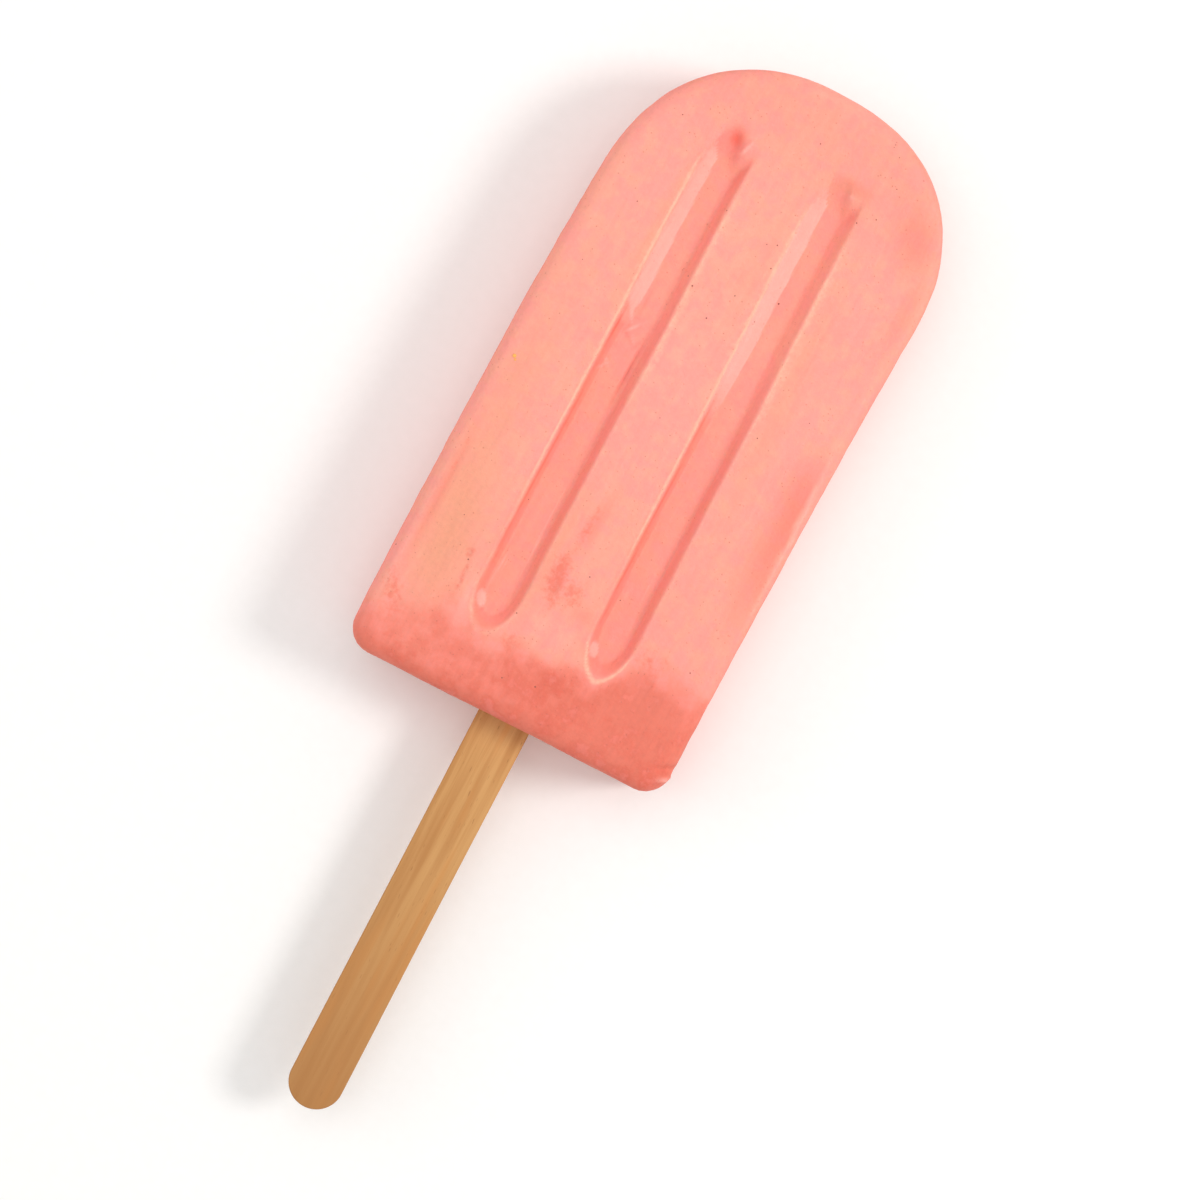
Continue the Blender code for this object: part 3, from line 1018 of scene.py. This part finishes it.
mottle = math_node(tree, "ADD", times(tree, clouds, 0.35), times(tree, blotches, 0.65))
frost = mix_colour(tree, ramp(tree, mottle, 0.40, 0.60), FROST_PINK, FROST_PEACH)
melt_and_shade_colour = mix_colour(tree, ramp(tree, mottle, 0.42, 0.66), MELTED_AND_EDGE_SHADE, DEEP_RED)
left_frost = times(tree, ramp(tree, blotches, 0.54, 0.68), 0.30)
melt_and_shade_colour = mix_colour(tree, left_frost, melt_and_shade_colour, FROST_PINK)
colour = layered(tree, frost, [
    (times(tree, peach_map, 0.9), YELLOW_FROST_AND_SHADE),
    (math_node(tree, "MAXIMUM", thin_frost_and_shade_share, 0.0), THIN_FROST_AND_SHADE),
    (times(tree, melt_and_edge_shade_share, 0.6), THIN_FROST_AND_SHADE),
    (math_node(tree, "POWER", melt_and_edge_shade_share, 1.7), melt_and_shade_colour),
    (scuff_share, RUBBED),
    (pale_share, THICK_FROST_AND_HIGHLIGHT),
    (rim_share, LIP_HIGHLIGHT),
])

cells = node(tree, "ShaderNodeMapping", Vector=place, Scale=(1 / (PORE_SPACING * MM),) * 3).outputs[0]
pores = node(tree, "ShaderNodeTexVoronoi", Vector=cells, Scale=1.0, Randomness=1.0).outputs["Distance"]
pore_share = times(tree, ramp(tree, pores, 0.17, 0.07), ramp(tree, blotches, 0.42, 0.60))
colour = mix_colour(tree, times(tree, pore_share, 0.5), colour, PORE)
streaks = times_plus(tree, drawn, 0.16, 0.92)
specks = times_plus(tree, crystals, 0.15, 0.925)
shade = times(tree, streaks, specks)
grey = node(tree, "ShaderNodeCombineColor", Red=shade, Green=shade, Blue=shade).outputs[0]
plug(tree, shader.inputs["Base Color"], mix_colour(tree, 1.0, colour, grey, "MULTIPLY"))

wet = math_node(tree, "MAXIMUM", melt_and_edge_shade_share, times(tree, thin_frost_and_shade_share, 0.6))
roughness = times_plus(tree, wet, -0.20, 0.68)
plug(tree, shader.inputs["Roughness"], times_plus(tree, crystals, 0.10, roughness))
shader.inputs["Specular IOR Level"].default_value = 0.3
shader.inputs["IOR"].default_value = 1.31
shader.inputs["Subsurface Weight"].default_value = 0.2
shader.inputs["Subsurface Radius"].default_value = (1.0, 0.35, 0.25)
shader.inputs["Subsurface Scale"].default_value = 1.0 * MM

hairs = grain(tree, place, 0.35, 2.0, 0.6)
height = times_plus(tree, hairs, 0.5, times(tree, crystals, 0.8))
height = times_plus(tree, drawn, 0.5, height)
height = times_plus(tree, blotches, 0.9, height)
height = times_plus(tree, pore_share, -0.8, height)
height = times_plus(tree, times(tree, crystals, scuff_map), 2.0, height)
bump = node(tree, "ShaderNodeBump", Strength=0.6, Distance=0.14 * MM, Height=height)
plug(tree, shader.inputs["Normal"], bump.outputs["Normal"])
bar.data.materials.append(ice)
print("fruit_ice:", len(tree.nodes), "nodes")

# %% [markdown]
# ## Specks in the ice
#
# Bits of fruit skin and seed show as a scatter of dark points, most of them smaller than a
# grain of salt, and there is one yellow fleck of peel. They are real little pieces, squashed
# balls half sunk into the surface. A ray dropped onto the finished bar finds where each one
# lies, and all those of a kind are joined into one mesh.

# %% Drop the specks onto the bar
surface_tree = BVHTree.FromObject(bar, bpy.context.evaluated_depsgraph_get())
# X, millimetres below the tip and radius.
SEED_SPECKS = [
    (1.6, 9.4, 0.11), (16.3, 10.0, 0.10), (15.7, 16.1, 0.12), (13.1, 18.1, 0.12), (3.3, 27.6, 0.12),
    (1.7, 28.3, 0.10), (4.2, 31.5, 0.11), (8.1, 35.8, 0.17), (1.1, 38.3, 0.11), (-5.9, 40.2, 0.15),
    (6.0, 40.5, 0.10), (-1.3, 43.8, 0.14), (-7.3, 39.0, 0.11), (-6.8, 26.5, 0.10), (-13.0, 84.2, 0.12),
    (2.1, 90.7, 0.12), (8.4, 91.7, 0.11), (-17.0, 97.7, 0.14), (-5.7, 101.7, 0.12), (-2.75, 112.3, 0.12),
    (2.8, 111.0, 0.15), (-21.1, 91.5, 0.10), (12.60, 3.1, 0.08), (12.65, 3.6, 0.10), (12.6, 4.1, 0.08),
    (14.2, 5.2, 0.10), (19.6, 6.6, 0.10), (-20.8, 16.0, 0.11), (-20.6, 32.2, 0.11), (22.0, 51.0, 0.09),
    (-0.2, 62.0, 0.09), (15.6, 57.3, 0.12), (-24.0, 45.0, 0.08), (24.3, 96.8, 0.12), (-28.8, 101.2, 0.13),
]
SPECK_STEPS = 10


def speck_ball(centre, normal, radius, squash):
    """Points and faces of a small ball, flattened along the normal."""
    turn = normal.to_track_quat("Z", "Y").to_matrix()
    points = [centre + turn @ Vector((0, 0, radius * squash))]
    rings = SPECK_STEPS // 2
    for ring in range(1, rings):
        down = math.pi * ring / rings
        for step in range(SPECK_STEPS):
            way = 2 * math.pi * step / SPECK_STEPS
            offset = (math.sin(down) * math.cos(way), math.sin(down) * math.sin(way), math.cos(down) * squash)
            points.append(centre + turn @ (Vector(offset) * radius))
    points.append(centre - turn @ Vector((0, 0, radius * squash)))
    faces = []
    last = len(points) - 1
    for step in range(SPECK_STEPS):
        after = (step + 1) % SPECK_STEPS
        faces.append((0, 1 + step, 1 + after))
        for ring in range(rings - 2):
            low = 1 + ring * SPECK_STEPS
            faces.append((low + step, low + SPECK_STEPS + step, low + SPECK_STEPS + after, low + after))
        low = 1 + (rings - 2) * SPECK_STEPS
        faces.append((low + after, low + step, last))
    return points, faces


def scattered(name, spots, squash):
    """One mesh of balls, each set on the bar where a ray from the front meets it."""
    points, faces = [], []
    for place_x, below, radius in spots:
        start = Vector((place_x, TIP_Y - below, THICK + 10)) * MM
        hit, normal, _, _ = surface_tree.ray_cast(start, Vector((0, 0, -1)))
        ball, ball_faces = speck_ball(hit / MM, normal, radius, squash)
        faces += [tuple(len(points) + corner for corner in face) for face in ball_faces]
        points += ball
    made = mesh_object(name, points, faces)
    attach(made, "root")
    return made


seed_specks = scattered("seed_specks", SEED_SPECKS, 0.45)
peel_fleck = scattered("peel_fleck", [(-26.3, 64.4, 0.36), (-25.9, 64.9, 0.2)], 0.4)
print("specks:", len(SEED_SPECKS), "and a fleck of peel")


# %% Speck materials
def speck_material(name, dark, light):
    material, tree, shader = new_material(name)
    place = node(tree, "ShaderNodeTexCoord").outputs["Object"]
    colour = mix_colour(tree, grain(tree, place, 0.2), dark, light)
    plug(tree, shader.inputs["Base Color"], colour)
    shader.inputs["Roughness"].default_value = 0.7
    return material


seed_specks.data.materials.append(speck_material("seed_skin", srgb(128, 66, 54), srgb(182, 94, 78)))
peel_fleck.data.materials.append(speck_material("peel", srgb(246, 168, 74), srgb(252, 186, 100)))

# %% [markdown]
# ## The stick
#
# An ice pop stick is a strip of birch veneer, punched out with round ends and tumbled until
# its edges lose their sharpness. The outline is drawn once, thickened, and its edges beveled.
# Veneer dries unevenly, so the strip is a hair narrower in the middle.

# %% Make the stick
import bmesh

STICK_LENGTH = 114.0
STICK_WIDTH = 9.5
STICK_OUT = 73.4
STICK_LEAN = math.radians(0.88)
STICK_EDGE = 0.28
END_STEPS = 40
SIDE_STEPS = 60
WAIST = 0.016  # how much narrower the strip is there, as a share
WAIST_Y = -16.0
WAIST_LENGTH = 22.0


def stick_outline():
    radius = STICK_WIDTH / 2
    end_y = STICK_LENGTH / 2 - radius
    turn = np.linspace(0, math.pi, END_STEPS + 1)
    side = np.linspace(end_y, -end_y, SIDE_STEPS + 1)[1:-1]
    upper = np.stack([radius * np.cos(turn), end_y + radius * np.sin(turn)], 1)
    down_side = np.stack([np.full_like(side, -radius), side], 1)
    half = np.concatenate([upper, down_side])
    whole = np.concatenate([half, -half])
    whole[:, 0] *= 1 - WAIST * bell(whole[:, 1], WAIST_Y, WAIST_LENGTH)
    return whole


def make_stick():
    bm = bmesh.new()
    corners = [bm.verts.new((px * MM, py * MM, 0)) for px, py in stick_outline()]
    face = bm.faces.new(corners)
    raised = bmesh.ops.extrude_face_region(bm, geom=[face])["geom"]
    thickness = (stick_high.z - stick_low.z) * MM
    upper = [part for part in raised if isinstance(part, bmesh.types.BMVert)]
    bmesh.ops.translate(bm, vec=(0, 0, thickness), verts=upper)
    sharp = [e for e in bm.edges if abs(e.verts[0].co.z - e.verts[1].co.z) < 1e-6]
    bmesh.ops.bevel(bm, geom=sharp, offset=STICK_EDGE * MM, segments=3, profile=0.5, affect="EDGES")
    bmesh.ops.recalc_face_normals(bm, faces=bm.faces)
    mesh = bpy.data.meshes.new("birch_stick")
    bm.to_mesh(mesh)
    bm.free()
    mesh.shade_smooth()
    mesh.set_sharp_from_angle(angle=math.radians(35))
    made = put_in_scene("birch_stick", mesh)
    mouth = Vector((STICK_X, BASE_Y, stick_low.z)) * MM
    shift = Matrix.Translation((0, (STICK_LENGTH / 2 - STICK_OUT) * MM, 0))
    made.matrix_world = Matrix.Translation(mouth) @ Matrix.Rotation(STICK_LEAN, 4, "Z") @ shift
    return made


stick = make_stick()
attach(stick, "root")
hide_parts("stick")
print("birch_stick:", len(stick.data.polygons), "faces")

# %% [markdown]
# ## The look of birch
#
# Birch is pale and fine: hair lines along the strip, a broader orange flame where the veneer
# knife crossed the growth rings, and short dark pores. All of it is the same noise, drawn
# out by different amounts along the stick. The free end is a shade darker from handling.

# %% Birch material
BIRCH_LIGHT = srgb(209, 158, 98)
BIRCH_DARK = srgb(186, 130, 72)
BIRCH_FLAME = srgb(212, 144, 76)
BIRCH_PORE = srgb(150, 98, 54)
BIRCH_HANDLED = srgb(170, 116, 64)

birch, tree, shader = new_material("birch")
place = node(tree, "ShaderNodeTexCoord").outputs["Object"]
hair = grain(tree, place, 0.22, 4.0, 0.6, stretch=(1, 60, 1))
bands = grain(tree, place, 1.6, 3.0, 0.5, stretch=(1, 22, 1))
flame = grain(tree, place, 3.0, 2.0, 0.5, stretch=(1, 9, 1))
pores = grain(tree, place, 0.28, 1.0, 0.5, stretch=(1, 7, 1))

grown = mix_colour(tree, ramp(tree, bands, 0.3, 0.7), BIRCH_LIGHT, BIRCH_DARK)
toward_end = times(tree, node(tree, "ShaderNodeSeparateXYZ", Vector=place).outputs["Y"], -1.0)
colour = layered(tree, grown, [
    (times(tree, ramp(tree, flame, 0.5, 0.72), 0.7), BIRCH_FLAME),
    (times(tree, ramp(tree, hair, 0.45, 0.75), 0.35), BIRCH_DARK),
    (times(tree, ramp(tree, pores, 0.68, 0.78), 0.6), BIRCH_PORE),
    (times(tree, ramp(tree, toward_end, -0.02, 0.06), 0.75), BIRCH_HANDLED),
])
plug(tree, shader.inputs["Base Color"], colour)
plug(tree, shader.inputs["Roughness"], times_plus(tree, hair, 0.2, 0.5))
shader.inputs["Specular IOR Level"].default_value = 0.35
height = times_plus(tree, pores, -0.4, hair)
bump = node(tree, "ShaderNodeBump", Strength=0.35, Distance=0.05 * MM, Height=height)
plug(tree, shader.inputs["Normal"], bump.outputs["Normal"])
stick.data.materials.append(birch)
print("birch:", len(tree.nodes), "nodes")

# %% [markdown]
# ## The table
#
# The table is only there to catch the shadow. It is a plain sheet with the faintest tooth.

# %% Lay the table
TABLE_SIZE = 3.0  # in metres
TABLE_Z = -0.2 * MM  # a hair below the bar, so that the two faces never touch

bm = bmesh.new()
bmesh.ops.create_grid(bm, x_segments=1, y_segments=1, size=TABLE_SIZE / 2)
table_mesh = bpy.data.meshes.new("table")
bm.to_mesh(table_mesh)
bm.free()
table = put_in_scene("table", table_mesh)
table.location.z = TABLE_Z
paper, tree, shader = new_material("white_table")
place = node(tree, "ShaderNodeTexCoord").outputs["Object"]
tooth = grain(tree, place, 2.0)
plug(tree, shader.inputs["Base Color"], mix_colour(tree, tooth, srgb(246, 245, 243), srgb(250, 249, 248)))
shader.inputs["Roughness"].default_value = 0.9
table_mesh.materials.append(paper)
table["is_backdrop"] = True
print("table laid")

# %% [markdown]
# ## Finish
#
# The boxes of the plain solids and of the finished pieces are kept side by side, to show that
# the looks haven't changed the size.

# %% Compare the boxes and finish
looks_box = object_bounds()
for name, box in (("solids", solid_box), ("looks", looks_box)):
    print(name, [[round(value / MM, 2) for value in corner] for corner in box])
